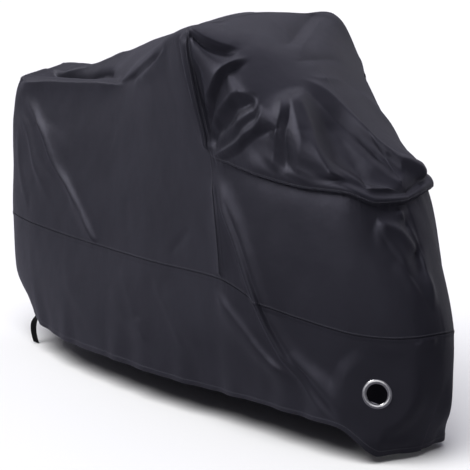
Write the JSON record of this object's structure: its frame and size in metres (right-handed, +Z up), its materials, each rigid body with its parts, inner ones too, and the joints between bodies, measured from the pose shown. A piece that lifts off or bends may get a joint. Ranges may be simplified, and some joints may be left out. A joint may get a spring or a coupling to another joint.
{
  "type": "motorcycle cover",
  "caption": "Fitted cover of dark coated nylon, draped hollow as over a parked motorcycle, with front lock eyelets and a tail strap.",
  "frame": {"origin": "underside of the cloth above the saddle, on the centre line, where the motorcycle holds the cover up", "axes": "+X towards the front wheel, +Y to the side away from the camera, +Z up; the ground is 1.1 m below the origin"},
  "size_m": [2.1474, 0.6724, 1.2608],
  "materials": {
    "nylon": "dark charcoal coated nylon with a soft sheen",
    "eyelet_metal": "bright plated",
    "webbing": "matte black woven webbing"
  },
  "bodies": {
    "root": {"seat_panel": "nylon", "hood": "nylon", "front_panel": "nylon", "skirt": "nylon", "eyelet_near": "eyelet_metal", "eyelet_far": "eyelet_metal", "strap": "webbing"}
  },
  "joints": []
}
